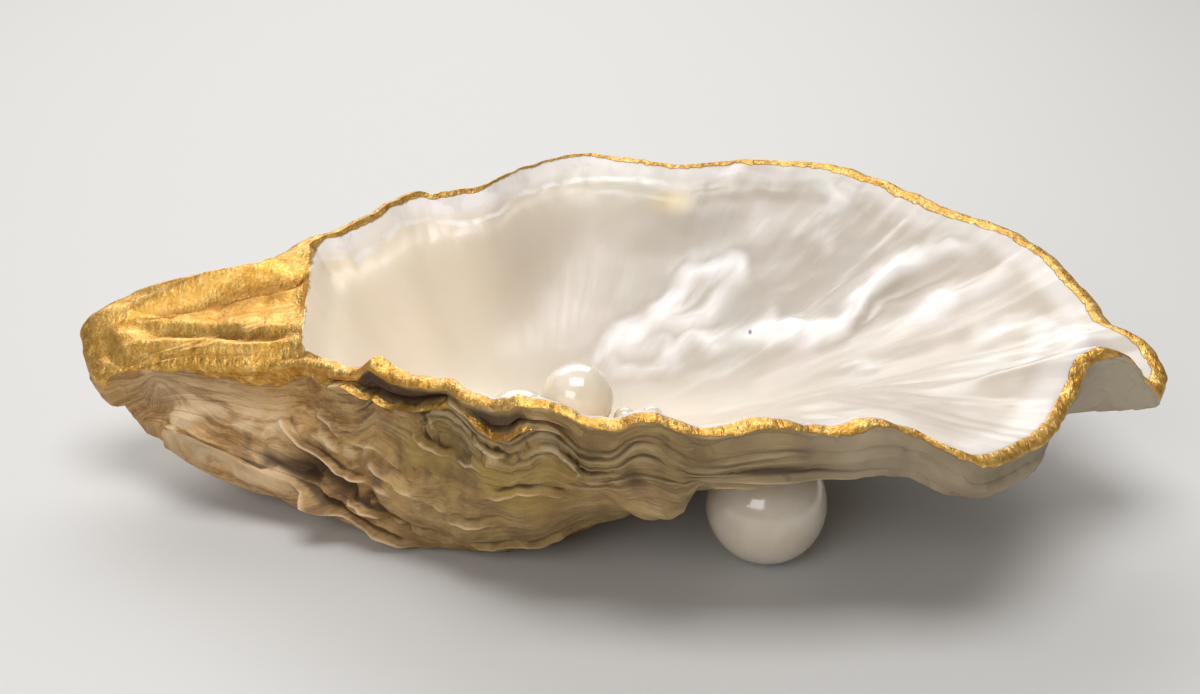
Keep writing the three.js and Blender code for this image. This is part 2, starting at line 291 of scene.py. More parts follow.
part_y, part_x = np.moveaxis(np.abs(off_centre), 2, 0)
calm = (1 - part_y) * ((1 - part_x) * level[cell_y, cell_x] + part_x * level[cell_y, next_x])
calm += part_y * ((1 - part_x) * level[next_y, cell_x] + part_x * level[next_y, next_x])
from_edge = (1 - share / plate_share) * reach[:, None] * plate_share
calmed = ease(from_edge, *LEVEL_FROM_EDGE) * (1 - ease(inside[..., 0], *LEVEL_TO_X))
nacre_z += (calm - nacre_z) * calmed

# The frills of the rim run a little way down the bowl, with creases, a crumpled shelf under the back
# rim and silky waves at the right.
frill_run = FRILL_FRONT + (FRILL_BACK - FRILL_FRONT) * ease(facing(FRILL_BACK_TOWARDS), 0.1, 0.8)
nacre_z += np.where(no_plate, rim_z - plate_z, 0)[:, None] * ease(share, 1 - frill_run[:, None], 1)
crease_x, crease_y = shaken(inside, CREASE_SHAKE)
creased = 1 - ease(share, *CREASE_END)
creases = line_relief(crease_x, crease_y, CREASES) * creased * (1 + grain(inside, CREASE_WEAR))
# The gleam paints highlights along the raised creases and shade along the sunken ones, wider than their
# relief.
wider = [(points, GLEAM_WIDER * half, rise) for points, half, rise in CREASES]
gleam = line_relief(crease_x, crease_y, wider) * creased * (GLEAM + grain(inside, GLEAM_WEAR))
gleam = GLEAM_SHARES[0] * gleam + GLEAM_SHARES[1] * creases
silky = ease(inside[..., 0], *SILK_FROM) * band(share, *SILK_BAND)
silky *= grain(inside * SILK_BROAD_STRETCH, SILK_BROAD) + grain(inside * SILK_FINE_STRETCH, SILK_FINE)
away = (1 - share) * reach[:, None]
shelf = SHELF * ease(facing(SHELF_TOWARDS), 0.45, 0.8)[:, None]
shelf = shelf * (1 - ease(away, *SHELF_END)) * (0.2 + 0.8 * ease(away, *SHELF_START))
rays = RAYS_ROUND * ring[:, None, :] + share[..., None] * (0, 0, RAYS_ALONG)
crinkle = grain(rays, CRINKLES) * band(share, *CRINKLE_BAND)
crinkle *= ease(facing(CRINKLE_TOWARDS), 0.1, 0.7)[:, None]
wrinkle = grain(inside, WRINKLES) * band(away, *WRINKLE_BAND)
nacre_z += creases + shelf + crinkle + silky + wrinkle * ease(facing(SHELF_TOWARDS), 0.2, 0.6)[:, None]

# The hinge plate slopes from its inner edge down to the tip.
on_plate = ~no_plate[:, None] & (share > plate_share)
slide = (share - plate_share) / np.maximum(1e-6, 1 - plate_share)
trough = GROOVE_DEPTH * np.exp(-((inside[..., 1] - GROOVE_Y) / GROOVE_HALF) ** 2)
trough *= np.minimum(1, GROOVE_FADE * (1 - share))
hinge_z = plate_z[:, None] + (rim_z - plate_z)[:, None] * slide - trough
grooves = line_relief(inside[..., 0], inside[..., 1], HINGE_LINES)
hinge_z += grooves * band(slide, *LINE_BAND)
hinge_z += grain(inside * PLATE_STRETCH, PLATE_LUMPS) * (1 - ease(slide, *PLATE_SMOOTH))
to_margin = np.full(share.shape, FAR)
for spot in margin[::2]:
    to_margin = np.minimum(to_margin, np.hypot(inside[..., 0] - spot[0], inside[..., 1] - spot[1]))
hinge_z -= PLATE_ROUND * np.clip(1 - to_margin / PLATE_ROUND_RUN, 0, 1) ** 2 * plate_front
inside[..., 2] = np.where(on_plate, hinge_z, nacre_z)

# The rounded edge of the margin.
EDGE_ROWS = 8
edge_turn = np.linspace(0, 0.5 * math.pi, EDGE_ROWS + 1)[1:]
bead = 1 + 0.25 * lumps(margin, 1.3, 6.6)[:, None]
edge_out = reach[:, None] - 2 * half_edge[:, None] * (1 - np.sin(edge_turn))
edge_z = rim_z[:, None] - half_edge[:, None] * (1 - np.cos(edge_turn)) * bead
edge_z[:, -1] = rim_z - half_edge
edge_z -= PLATE_ROUND * plate_front
edge = set_round(edge_out, edge_z)

# Outside: drop of the edge, shoulder and turn of the belly, every 15 degrees, and the scar under it.
DROP = (1.2, 1.4, 1.8, 2, 2, 2.2, 2.4, 2.6, 3, 3, 3, 2.6,
        2.8, 3.6, 4.5, 5, 5, 5, 5, 4.8, 4.6, 3.6, 2.6, 1.7)
DROP_IN = 0.6
SHOULDER_OUT = (52, 51, 46, 42.5, 36, 33.5, 32.5, 29.5, 29, 28.5, 31, 39.5,
                43, 35, 27, 23.6, 22.8, 24.2, 26.2, 28.8, 32.5, 38, 46, 50)
SHOULDER_Z = (10.4, 11.6, 13.2, 14.2, 14, 13, 12.2, 11.8, 11.5, 11, 10.5, 10.4,
              8.4, 5.4, 5.6, 6, 6.6, 8, 10, 12.2, 14.2, 15.2, 14, 11.8)
BELLY_OUT = (26, 25, 24, 23, 21, 20, 19.5, 19, 19, 19.5, 21, 27,
             33, 27.5, 23.5, 21.4, 19.5, 18.5, 18, 18, 19, 24, 26, 26)
BELLY_Z = (5.2, 5.4, 5.2, 5, 4.6, 4.1, 3.6, 3, 2.5, 2.2, 2.2, 3,
           3.6, 1.8, 1, 0.7, 0.6, 1, 1.8, 3.2, 5.6, 12, 12.6, 8)
SCAR_OUT, SCAR_RISE, SCAR_LOW, SCAR_TOWARDS = 11, 1.6, -0.5, 331.35
BELLY_LOW = -0.6
OUTSIDE_AT = (0, 0.16, 0.42, 0.74, 0.92, 1)


def outside_base(s):
    values = (SHOULDER_OUT, SHOULDER_Z, BELLY_OUT, BELLY_Z, DROP)
    shoulder_out, shoulder_z, belly_out, belly_z, drop = (around(v, degrees)[:, None] for v in values)
    scar_z = (SCAR_RISE * np.maximum(0, facing(SCAR_TOWARDS)) ** 2 + SCAR_LOW)[:, None]
    top = edge_z[:, -1:]
    rim = reach[:, None]
    outs = [rim, rim - DROP_IN, shoulder_out, belly_out, np.full_like(rim, SCAR_OUT), 0 * rim]
    levels = [top, top - drop, shoulder_z, belly_z, scar_z, np.full_like(rim, BELLY_LOW)]
    return through(OUTSIDE_AT, outs, s), through(OUTSIDE_AT, levels, s)


def outside_place(s, rise):
    o, z = outside_base(s)
    oa, za = outside_base(np.maximum(0, s - 0.01))
    ob, zb = outside_base(np.minimum(1, s + 0.01))
    length = np.maximum(1e-6, np.hypot(ob - oa, zb - za))
    return o + rise * (za - zb) / length, np.maximum(0, z + rise * (ob - oa) / length)


# Ledges from the margin to the belly, each followed by a thinner sheet. All of them draw together
# towards the beak, where the shell began, and they wave with the frills of the margin. Flakes stand
# off single ledges: which ledge, degrees round the middle, half width and extra rise.
LEDGES = (0.09, 0.2, 0.32, 0.46, 0.62, 0.8)
LAST_LEDGE_END = 0.97
LIP_SHEET, LIP_RISE = 0.035, 0.2
THIN_SHEET, THIN_RISE = 0.55, 0.4
LEDGE_STEP, LEDGE_WANDER, LEDGE_GAP, STEP_SHARE = 0.014, 0.012, 0.045, 0.36
LEDGE_RAGS = ((2.4, 0.45, 2.5, 0.04), (7, 1.7, 0.5, 0.014))
FINE_RAGS, FLAKE_SCALE, FLAKE_RAGGED = ((24, 1.7, 0.5, 0.009),), 30, 0.35
LEDGE_WEAR = ((2.6, 2.9, 7.5, 1.5), (15, 2.9, 3.5, 0.5))
KEPT_UP, KEPT_UP_BACK, KEPT_UP_MOST = 0.5, 0.4, 1.6
LEAST_LIFT, LEDGE_SUNK, SEEN_LIFT, STEP_CLEAR = 0.03, 0.12, 0.9, 2.6
BEAK, BEAK_HALF, FAN_HALF = 184, (8, 30), 75
FLUTE_AVERAGE, FLUTE_FROM, FLUTE_SWELL = 73, (-24, -16), 2.0
ARCH_CALM, ARCH_SWELL = (350, 16, 0.75), (348, 22, 0.85)
FLAKES = ((5, 196, 3.8, 2.8), (5, 214, 3.2, 3.2), (4, 226, 6, 1.0), (3, 206, 6, 0.8), (4, 240, 7, 0.6))
# Rows between two ledges: how far on, how much of the lift they keep, and their mark, painted highlight
# above nought and painted shade below.
BETWEEN_LEDGES = ((0.3, 0.55, 0.3), (0.6, 0.25, 0), (0.85, 0.06, -0.15))
BELLY_ROWS = (0.06, 0.14, 0.24, 0.36, 0.5, 0.64, 0.78, 0.9, 1)
# The split sheet at the front left, whose edge is gilded too: degrees round the middle and growth.
STRIP_AT = (212, 217, 219.5, 222, 225, 230, 236, 242, 247, 251, 255, 257, 261.5, 264, 267, 270, 273, 278)
STRIP_OUT = (0.03, 0.022, 0.03, 0.07, 0.115, 0.1, 0.085, 0.07, 0.05, 0.026, 0.028, 0.055, 0.095,
             0.088, 0.066, 0.03, 0.022, 0.06)
STRIP_BAND, STRIP_LIFT, STRIP_SUNK = (211, 216, 273, 279), 0.55, 0.7


def round_grain(sheet, sizes):
    total = 0
    for scale, drift, seed, amount in sizes:
        total = total + amount * lumps(ring * scale + (0, 0, drift * sheet), 1, seed)
    return total


sheets = [(LIP_SHEET, LIP_RISE, None)]
for k, at in enumerate(LEDGES):
    gap = (LEDGES + (LAST_LEDGE_END,))[k + 1] - at
    sheets += [(at, 1.0, k), (at + THIN_SHEET * gap, THIN_RISE, None)]
fan = 0.4 + 0.6 * ease(np.abs(compass - 180), 0, FAN_HALF)
beak = 0.12 + 0.88 * ease(np.abs(compass - BEAK), *BEAK_HALF)
at_back = ease(ring[:, 1], 0.05, 0.5) * (1 - ease(margin[:, 0], 20, 48))
rough = np.maximum(0.25 + 0.75 * ease(-margin[:, 0], -8, 24), 0.8 * at_back)
flute = rim_z - averaged(rim_z, np.ones(FLUTE_AVERAGE) / FLUTE_AVERAGE)
flute = np.clip(flute, -1, 1) * ease(margin[:, 0], *FLUTE_FROM)
strip = band(compass, *STRIP_BAND)
growth_rows, rise_rows, mark_rows = [], [], []
edge_before = np.zeros_like(angle)
for n, (at, rise, ledge) in enumerate(sheets):
    ragged = LEDGE_WANDER * np.sin(5 * angle + 1.1 * n)
    ragged = ragged + round_grain(n, LEDGE_RAGS) + rough * round_grain(n, FINE_RAGS)
    lip = at * fan + ragged * min(1, 0.2 + at * 6) - 0.06 * flute * math.exp(-at / 0.45)
    if n == 0:
        lip = lip * (1 - 0.75 * strip)
    if ledge == 0:
        lip = lip + (np.interp(compass, STRIP_AT, STRIP_OUT) - lip) * strip
    lip = np.maximum(lip, edge_before + LEDGE_GAP * fan * (1 - 0.6 * strip * (n < 2)))
    step = np.minimum(LEDGE_STEP, STEP_SHARE * (lip - edge_before))
    kept_up = np.clip(KEPT_UP + KEPT_UP_BACK * at_back + round_grain(n, LEDGE_WEAR), 0, KEPT_UP_MOST)
    lift = rise * kept_up * rough * beak * (1 - ARCH_CALM[2] * hump(*ARCH_CALM[:2]))
    for flaked, middle, half, extra in FLAKES:
        if flaked == ledge:
            flake_edge = 1 + FLAKE_RAGGED * lumps(ring * FLAKE_SCALE, 1, n)
            lift = lift + extra * hump(middle, half) * flake_edge
    lift = np.maximum(LEAST_LIFT, lift) * min(1, 0.3 + 2.5 * at)
    sunk = -LEDGE_SUNK * rise + 0 * lift
    if ledge == 0:
        lift, sunk = lift + STRIP_LIFT * strip, sunk - STRIP_SUNK * strip
    if n:
        for far, kept, tone in BETWEEN_LEDGES:
            growth_rows.append(edge_before + far * (lip - STEP_CLEAR * step - edge_before))
            rise_rows.append(kept * lift_before)
            mark_rows.append(tone * seen)
    seen = np.clip(lift / SEEN_LIFT, 0, 1) ** 1.5
    growth_rows += [lip - step * (1 + (STEP_CLEAR - 1) * (1 - seen)), lip]
    rise_rows += [sunk, lift]
    # Marks: painted shade in the step just above each edge and a painted highlight on the edge, as strong as
    # the ledge stands off.
    mark_rows += [-seen, seen]
    edge_before, lift_before = lip, lift
for far in BELLY_ROWS:
    growth_rows.append(edge_before + far * (1 - edge_before))
    rise_rows.append(lift_before * max(0, 0.6 - 2 * far))
    mark_rows.append(0 * seen)
growth, rises, marks = (np.stack(rows, axis=1) for rows in (growth_rows, rise_rows, mark_rows))
swell = FLUTE_SWELL * (flute - 0.25) * (1 - ARCH_SWELL[2] * hump(*ARCH_SWELL[:2]))
rises = rises + swell[:, None] * np.exp(-growth / 0.3) * (1 - np.exp(-growth / 0.05))

# Lobes and hollows of the wall: degrees, half width, growth and its spread, rise in mm.
BULGES = ((290, 6.5, 0.33, 0.075, 2.6), (180, 8, 0.25, 0.07, -1.6), (190, 8, 0.36, 0.1, 1.9),
          (327, 8, 0.2, 0.08, 1.7))
for middle, half, at, run, rise in BULGES:
    off_middle = np.mod(degrees - middle + 180, 360) - 180
    dome = np.clip(1 - off_middle ** 2 / half ** 2, 0, 1) ** 0.75
    rises = rises + rise * dome[:, None] * np.exp(-((growth - at) / run) ** 2)

# Crevices and folds of the flank beside the hinge: degrees round the middle, mm below the rim.
MM_PER_DEGREE = 0.45
CREVICES = (
    (((187.3, 2.5), (188.2, 7), (190.5, 12.5), (193.4, 15.6), (197, 18.2)), 0.8, 0.6),
    (((186.3, 4.5), (188.5, 10), (190.8, 14.2), (193.4, 17), (197.1, 18.8)), 0.55, -0.9),
    (((190, 2), (190.8, 8), (195.1, 11.8), (200, 13.8), (205, 14.6)), 0.8, 0.6),
    (((190.8, 6), (193, 8.4), (195.5, 9.8)), 0.5, -0.8),
    (((195, 9.7), (201.6, 11.7), (207, 10.9), (211, 10.4), (218, 12), (222.4, 12.3)), 0.6, -1.3),
    (((222.4, 12.3), (226, 14.6), (229.4, 15.5), (235.8, 16.4), (241, 17.2)), 0.55, -1.1),
    (((205, 11.3), (212, 11.8)), 1.1, -1.1),
    (((211, 15.4), (218, 13.6)), 0.9, -0.9),
    (((192.5, 17.5), (196, 18.2), (197.5, 19.6)), 0.6, -1.2),
    (((190.8, 5.0), (196, 7.6), (203.8, 8.2), (212, 8.2), (221, 8.5), (230, 9.4)), 0.8, 0.6),
    (((191.6, 6.6), (195, 8.6), (199.8, 9.9)), 0.5, 0.4),
    (((195, 16.3), (198.3, 18.8), (201.6, 19.4), (210.9, 16.8)), 0.9, 0.7),
    (((197, 4.9), (206, 5.6), (216, 5.9), (228, 7.4)), 0.5, 0.4),
    (((202, 3.4), (214, 3.5), (224, 5.0), (232, 6.6)), 0.45, 0.3),
    (((219, 10.3), (230, 11.6), (242, 12.8), (256, 13.2)), 0.7, 0.45),
    (((226, 12.6), (238, 14.2), (252, 15.2)), 0.6, 0.4),
)
CREVICE_SHAKE = ((3.0, 2.1, 5, 0.7), (1.1, 6.1, 1, 0.3))
o, z = outside_place(growth, 0 * growth)
steps_down = [np.diff(v, axis=1, prepend=v[:, :1]) for v in (o, z)]
below = np.cumsum(np.hypot(*steps_down), axis=1)
unrolled = np.stack([compass[:, None] * MM_PER_DEGREE + 0 * below, below, 0 * below], axis=2)
flat_lines = [([(t * MM_PER_DEGREE, mm) for t, mm in line], half, rise) for line, half, rise in CREVICES]
crevices = line_relief(*shaken(unrolled, CREVICE_SHAKE), flat_lines)
rises = rises + crevices
# The marks paint shade into the crevices and highlights onto the folds between them.
marks = np.clip(marks + np.where(crevices < 0, 0.8, 1.3) * crevices, -1, 1)

# Wavy growth lines under the front rim: the run of the main one, in degrees and mm below the rim,
# then the lines beside it: mm further down, how much of the wave each keeps and how clear it is.
WAVE_AT = (226, 236, 245, 251, 255, 260, 264, 268, 271, 274,
           276, 279.5, 282.5, 284.5, 286.6, 288.8, 292, 295.5, 299, 308)
WAVE_DEEP = (5.4, 4.2, 2.2, 2.6, 3.0, 4.4, 4.6, 3.9, 2.8, 2.7,
             3.7, 4.6, 4.6, 3.9, 2.9, 2.9, 4.0, 4.4, 4.2, 3.4)
WAVE_MEAN, WAVE_BAND = 3.6, (230, 244, 300, 326)
WAVES = ((-1.5, 0.8, 0.6), (0, 1, 1.0), (1.3, 1, 0.8), (2.5, 0.8, 0.55), (4.2, 0.6, 0.4), (6.0, 0.4, 0.3))
RECESS_HALF, LIP_BELOW, LIP_HALF = 0.3, 0.75, 0.42
fluted = band(compass, *WAVE_BAND)
wave = averaged(np.interp(compass, WAVE_AT, WAVE_DEEP), (0.25, 0.5, 0.25)) - WAVE_MEAN
shaky_below = below + 0.25 * lumps(unrolled, 3.0, 2.1) + 0.1 * lumps(unrolled, 1.1, 6.1)
for deeper, kept, clear in WAVES:
    off_line = shaky_below - (WAVE_MEAN + wave * kept + deeper)[:, None]
    worn_clear = np.clip(0.85 + 1.1 * lumps(unrolled, 5.0, deeper + 3.3), 0.15, 1.3)
    worn_clear = clear * fluted[:, None] * worn_clear
    recess = np.exp(-(off_line / RECESS_HALF) ** 2)
    swollen = np.exp(-((off_line - LIP_BELOW) / LIP_HALF) ** 2)
    rises = rises + worn_clear * (0.28 * swollen - 0.4 * recess)
    # Their marks paint shade into each recess and a highlight onto the swollen lip below it.
    marks = np.clip(marks + worn_clear * (0.75 * swollen - 0.95 * recess), -1, 1)

# Pits all over the wall, and the seats that the glue makes on the two pearl feet.
PITS_BROAD, PITS = (4.6, 2.9, 0.5), ((2.2, 1.3, 0.28), (0.9, 9.1, 0.14))
PIT_BAND = (0.02, 0.1, 0.9, 1)
FEET = ((15.8, -20.4, 6), (23.2, 27, 6))
FOOT_SEAT, GLUE_SPREAD = 6.06, 1.6
smooth_wall = set_round(*outside_place(growth, rises))
pitted = grain(smooth_wall * (1, 1, 1.4), (PITS_BROAD,)) + grain(smooth_wall, PITS)
rises = rises + pitted * rough[:, None] * band(growth, *PIT_BAND)
outside = set_round(*outside_place(growth, rises))
for foot in FEET:
    from_foot = outside - np.array(foot)
    distance = np.linalg.norm(from_foot, axis=2, keepdims=True)
    pulled = np.exp(-((distance - distance.min()) / GLUE_SPREAD) ** 2)
    glued = distance - max(0, distance.min() - FOOT_SEAT) * pulled
    outside = np.array(foot) + from_foot * np.maximum(glued, FOOT_SEAT) / np.maximum(distance, 1e-6)
outside[..., 2] = np.maximum(0, outside[..., 2])
outside[:, -1] = MIDDLE + (0,)

# What the finishes read at each place: mm from the crest of the rim, the way along nacre or growth,
# marks of painted shade and painted highlight in grooves, creases and on edges, and where the skin is
# stained brown or painted with shade in its dark pockets, thin and ochre, or chalky (place, radius).
# Brown: real stains, and the deep pockets near the hinge end of the flank, which are painted shade.
BROWN_AND_SHADED_POCKETS = (
    (-29.8, -16.1, 8.3, 2.4), (-27.4, -17.8, 5.6, 2.2), (-14.8, -24.1, 15.3, 1.7), (-13.6, -26, 14.3, 1.2),
    (-1.9, -32.4, 17.9, 1.3), (2.2, -33.3, 16.4, 1.3), (8.3, -34.3, 17.5, 1.2), (-14.8, -24.6, 11.8, 0.8),
    (-18, -22.5, 16.5, 1.2), (-29.6, -15.6, 8.6, 1.6),
)
OCHRE = (
    (-8, -30.2, 13.6, 3.4), (-10.8, -28.6, 13.2, 2.8), (-5.5, -31.4, 15.5, 2.5), (-15.7, -24.2, 13.9, 2.8),
    (-18, -22.5, 13.5, 2.5),
)
CHALK = (
    (-46.3, -7.7, 12.6, 2.4), (-42.9, -8.7, 12.6, 2.6), (-39.6, -9.9, 12, 2.4), (-34.1, -11.9, 11, 1.8),
    (-36.4, -10.9, 11.4, 2), (-34, -14, 6, 3),
)
WALL_LENGTH, GATHER_AT, GATHER_RUN, FLANK = 29, 186.5, 5, (18, 48)
WAVE_GAIN, WAVE_REACH, WAVE_START = 1.25, 9, (0, 1.5)
GLEAM_FULL = 0.7
skin = np.concatenate([inside, edge, outside], axis=1)
ROWS = skin.shape[1] - 1
CREST_ROW = inside.shape[1] + EDGE_ROWS // 2 - 1
WALL_ROW = inside.shape[1] + EDGE_ROWS
STRIP_ROW = WALL_ROW + 2 + len(BETWEEN_LEDGES) + 1
rimway = np.cumsum(np.linalg.norm(np.diff(skin, axis=1, prepend=skin[:, :1]), axis=2), axis=1)
rimway = rimway - rimway[:, CREST_ROW:CREST_ROW + 1]
gather = 1.08 - np.exp(-np.abs(compass - GATHER_AT) / GATHER_RUN)
flank = 1 - ease(np.abs(compass - GATHER_AT), *FLANK)
grown = growth / fan[:, None]
grown = grown + (below / (WALL_LENGTH * gather)[:, None] - grown) * flank[:, None]
wave_shift = (WAVE_GAIN * wave * fluted / WALL_LENGTH)[:, None] * np.exp(-(below / WAVE_REACH) ** 2)
grown = grown - wave_shift * ease(below, *WAVE_START)
way = np.concatenate([share, np.ones_like(edge_out), grown], axis=1)
mark = np.concatenate([np.where(on_plate, grooves, gleam / GLEAM_FULL), 0 * edge_out, marks], axis=1)
tones = np.zeros(skin.shape)
for k, spots in enumerate((BROWN_AND_SHADED_POCKETS, OCHRE, CHALK)):
    for *spot, radius in spots:
        nearness = np.exp(-np.sum((outside - spot) ** 2, axis=2) / radius ** 2)
        tones[:, WALL_ROW:, k] = np.maximum(tones[:, WALL_ROW:, k], nearness)

# Gold paint: how far it comes in over the rim and how far down outside, at each second station. It
# covers the hinge plate and the edge of the split sheet; the pocket between that and the rim is dark
# with painted shade.
PAINT_IN = (0.6, 0.8, 1.0, 1.2, 1.2, 1.0, 0.9, 0.85, 0.8, 0.75, 0.75, 0.75, 0.8, 0.9, 0.9, 0.9,
            1.0, 1.3, 1.5, 1.5, 1.6, 1.9, 1.9, 1.7, 1.5, 1.3, 1.8, 1.7, 1.9, 1.9, 0.8)
PAINT_OUT = (5.4, 0.7, 2.6, 2.2, 1.3, 0.8, 0.6, 0.6, 0.6, 0.55, 0.6, 0.6, 1.0, 1.3, 0.9, 0.8,
             0.9, 1.3, 1.5, 1.5, 1.5, 1.3, 1.4, 1.3, 1.5, 1.4, 1.4, 1.8, 2.4, 3.2, 5.4)
PAINT_DRIPS = ((3.5, 2.4, 0.45), (1.4, 4.9, 0.3))
PAINT_CORNER, NOT_BEHIND = 0.9, -9
GILDED_BANDS = ((217, 221, 247, 252), (254, 258, 268, 272))
GILDED_HALF, GILDED_BARE = 0.95, 0.2
POCKET_TOP, POCKET_FOOT = (0.9, 1.5), (0.6, 0.2)
paint_in = around(PAINT_IN, rim_turn)[:, None]
paint_out = (around(PAINT_OUT, rim_turn) * (1 + grain(margin, PAINT_DRIPS)))[:, None]
behind = (skin[..., 1] - PLATE_FRONT[1]) * edge_x - (skin[..., 0] - PLATE_FRONT[0]) * edge_y
behind = np.where(rimway < 0, behind / math.hypot(edge_x, edge_y), NOT_BEHIND)
inner = PAINT_CORNER * np.logaddexp((rimway + paint_in) / PAINT_CORNER, behind / PAINT_CORNER)
strip_way = rimway[:, STRIP_ROW:STRIP_ROW + 1]
gilded = sum(band(compass, *run) for run in GILDED_BANDS)[:, None]
pocket = ease(rimway, strip_way - POCKET_FOOT[0], strip_way - POCKET_FOOT[1])
pocket = gilded * ease(rimway, *POCKET_TOP) * (1 - pocket)
paint = np.minimum(inner, paint_out - rimway)
paint = np.maximum(paint, GILDED_HALF * gilded - GILDED_BARE - np.abs(rimway - strip_way))
# The pocket is painted with shade: the mark sinks there and the brown tone rises.
mark = np.where(pocket > 0, np.minimum(mark, -pocket), mark)
tones[..., 0] = np.maximum(tones[..., 0], pocket)

# The skin itself: a flat grid, wrapped over the columns and closed along its seam and at both middles.
MM = 0.001
SHARP = math.radians(55)
shell_mesh = bmesh.new()
bmesh.ops.create_grid(shell_mesh, x_segments=COLUMNS, y_segments=ROWS, size=0.5)
rimway_layer, paint_layer, mark_layer = (
    shell_mesh.verts.layers.float.new(name) for name in ("rimway", "paint", "mark"))
ways_layer, tones_layer = (shell_mesh.verts.layers.float_vector.new(name) for name in ("ways", "tones"))
for face in shell_mesh.faces:
    face.smooth = True
    face.material_index = int((face.calc_center_median().y + 0.5) * ROWS > CREST_ROW)
for vert in shell_mesh.verts:
    i, j = round((vert.co.x + 0.5) * COLUMNS), round((vert.co.y + 0.5) * ROWS)
    vert.co = Vector(skin[i, j]) * MM
    vert[rimway_layer] = rimway[i, j]
    vert[paint_layer] = paint[i, j]
    vert[mark_layer] = mark[i, j]
    vert[ways_layer] = (way[i, j], ring[i, 0], ring[i, 1])
    vert[tones_layer] = tones[i, j]
bmesh.ops.remove_doubles(shell_mesh, verts=shell_mesh.verts, dist=1e-6)
bmesh.ops.recalc_face_normals(shell_mesh, faces=shell_mesh.faces)
shell = bpy.data.objects.new("oyster_valve", bpy.data.meshes.new("oyster_valve"))
shell_mesh.to_mesh(shell.data)
shell_mesh.free()
shell.data.set_sharp_from_angle(angle=SHARP)
bpy.context.scene.collection.objects.link(shell)


def node(tree, kind, inputs=None, **settings):
    made = tree.nodes.new(kind)
    for name, value in settings.items():
        setattr(made, name, value)
    for name, value in (inputs or {}).items():
        if isinstance(value, bpy.types.NodeSocket):
            tree.links.new(value, made.inputs[name])
        else:
            made.inputs[name].default_value = value
    return made


def new_material(name):
    material = bpy.data.materials.new(name)
    material.use_nodes = True
    material.node_tree.nodes.clear()
    return material, material.node_tree, node(material.node_tree, "ShaderNodeTexCoord").outputs["Object"]


def maths(tree, operation, *values):
    return node(tree, "ShaderNodeMath", dict(enumerate(values)), operation=operation).outputs[0]


def times(tree, *values):
    return maths(tree, "MULTIPLY", *values)


def weighted(tree, *pairs):
    total = 0.0
    for value, weight in pairs:
        total = maths(tree, "ADD", total, times(tree, value, weight))
    return total


def ranged(tree, value, lo, hi, to_lo=0.0, to_hi=1.0):
    inputs = {"Value": value, "From Min": lo, "From Max": hi, "To Min": to_lo, "To Max": to_hi}
    return node(tree, "ShaderNodeMapRange", inputs, interpolation_type="SMOOTHSTEP").outputs[0]


def tinted(tree, factor, under, over):
    return node(tree, "ShaderNodeMix", {0: factor, 6: under, 7: over}, data_type="RGBA").outputs[2]


def mixed(tree, factor, under, over):
    return node(tree, "ShaderNodeMix", {0: factor, 2: under, 3: over}, data_type="FLOAT").outputs[0]


def speckle(tree, vector, scale, detail=3.0, roughness=0.55, stretch=None):
    if stretch:
        vector = node(tree, "ShaderNodeMapping", {"Vector": vector, "Scale": stretch}).outputs[0]
    inputs = {"Vector": vector, "Scale": scale, "Detail": detail, "Roughness": roughness}
    return node(tree, "ShaderNodeTexNoise", inputs).outputs["Fac"]


def from_spot(tree, vector, centre, scale):
    shift = [-at * size for at, size in zip(centre, scale)]
    moved = node(tree, "ShaderNodeMapping", {"Vector": vector, "Location": shift, "Scale": scale})
    return node(tree, "ShaderNodeVectorMath", {0: moved.outputs[0]}, operation="LENGTH").outputs["Value"]


def marked(tree, name, output="Fac"):
    return node(tree, "ShaderNodeAttribute", attribute_name=name).outputs[output]


# Gold paint, brushed on by hand: a lumpy metallic coat with a wandering edge, calmer where it is wide.
GOLD_DEEP, GOLD_WARM = (0.6, 0.315, 0.055, 1), (0.74, 0.44, 0.11, 1)
GOLD_STROKE, GOLD_GLINT = (0.95, 0.66, 0.25, 1), (1.0, 0.76, 0.34, 1)
GOLD_SHADE, GOLD_GROOVE_SHADE = (0.36, 0.15, 0.022, 1), (0.3, 0.13, 0.02, 1)
GOLD_HEIGHTS, GOLD_HEIGHT_MEAN, GOLD_LIFT = (1.9, 1.2, 0.9, 0.3), 2.15, 1.6
GOLD_METAL = 0.82
gold_paint = bpy.data.node_groups.new("gold_paint", "ShaderNodeTree")
for name in ("Depth", "GrooveShade"):
    gold_paint.interface.new_socket(name, in_out="INPUT", socket_type="NodeSocketFloat")
for name, kind in (("Mask", "Float"), ("Color", "Color"), ("Roughness", "Float"), ("Height", "Float")):
    gold_paint.interface.new_socket(name, in_out="OUTPUT", socket_type="NodeSocket" + kind)
brushed_on = node(gold_paint, "NodeGroupInput")
depth, groove_shade = brushed_on.outputs["Depth"], brushed_on.outputs["GrooveShade"]
place = node(gold_paint, "ShaderNodeTexCoord").outputs["Object"]
broad = speckle(gold_paint, place, 420, 4)
fine = speckle(gold_paint, place, 1700, 3)
grit = speckle(gold_paint, place, 4200, 2)
stroke = speckle(gold_paint, place, 1, 3, 0.6, (900, 260, 500))
wobble = maths(gold_paint, "SUBTRACT", weighted(gold_paint, (broad, 0.8), (fine, 0.4)), 0.6)
mask = ranged(gold_paint, maths(gold_paint, "ADD", depth, wobble), -0.06, 0.1)
lively = ranged(gold_paint, depth, 1.0, 3.0, 1.0, 0.45)
glint = times(gold_paint, lively, ranged(gold_paint, fine, 0.54, 0.7, 0, 0.65))
shaded = times(gold_paint, lively, ranged(gold_paint, fine, 0.46, 0.3, 0, 0.6))
hue = tinted(gold_paint, ranged(gold_paint, broad, 0.36, 0.64), GOLD_DEEP, GOLD_WARM)
hue = tinted(gold_paint, ranged(gold_paint, stroke, 0.52, 0.72, 0, 0.35), hue, GOLD_STROKE)
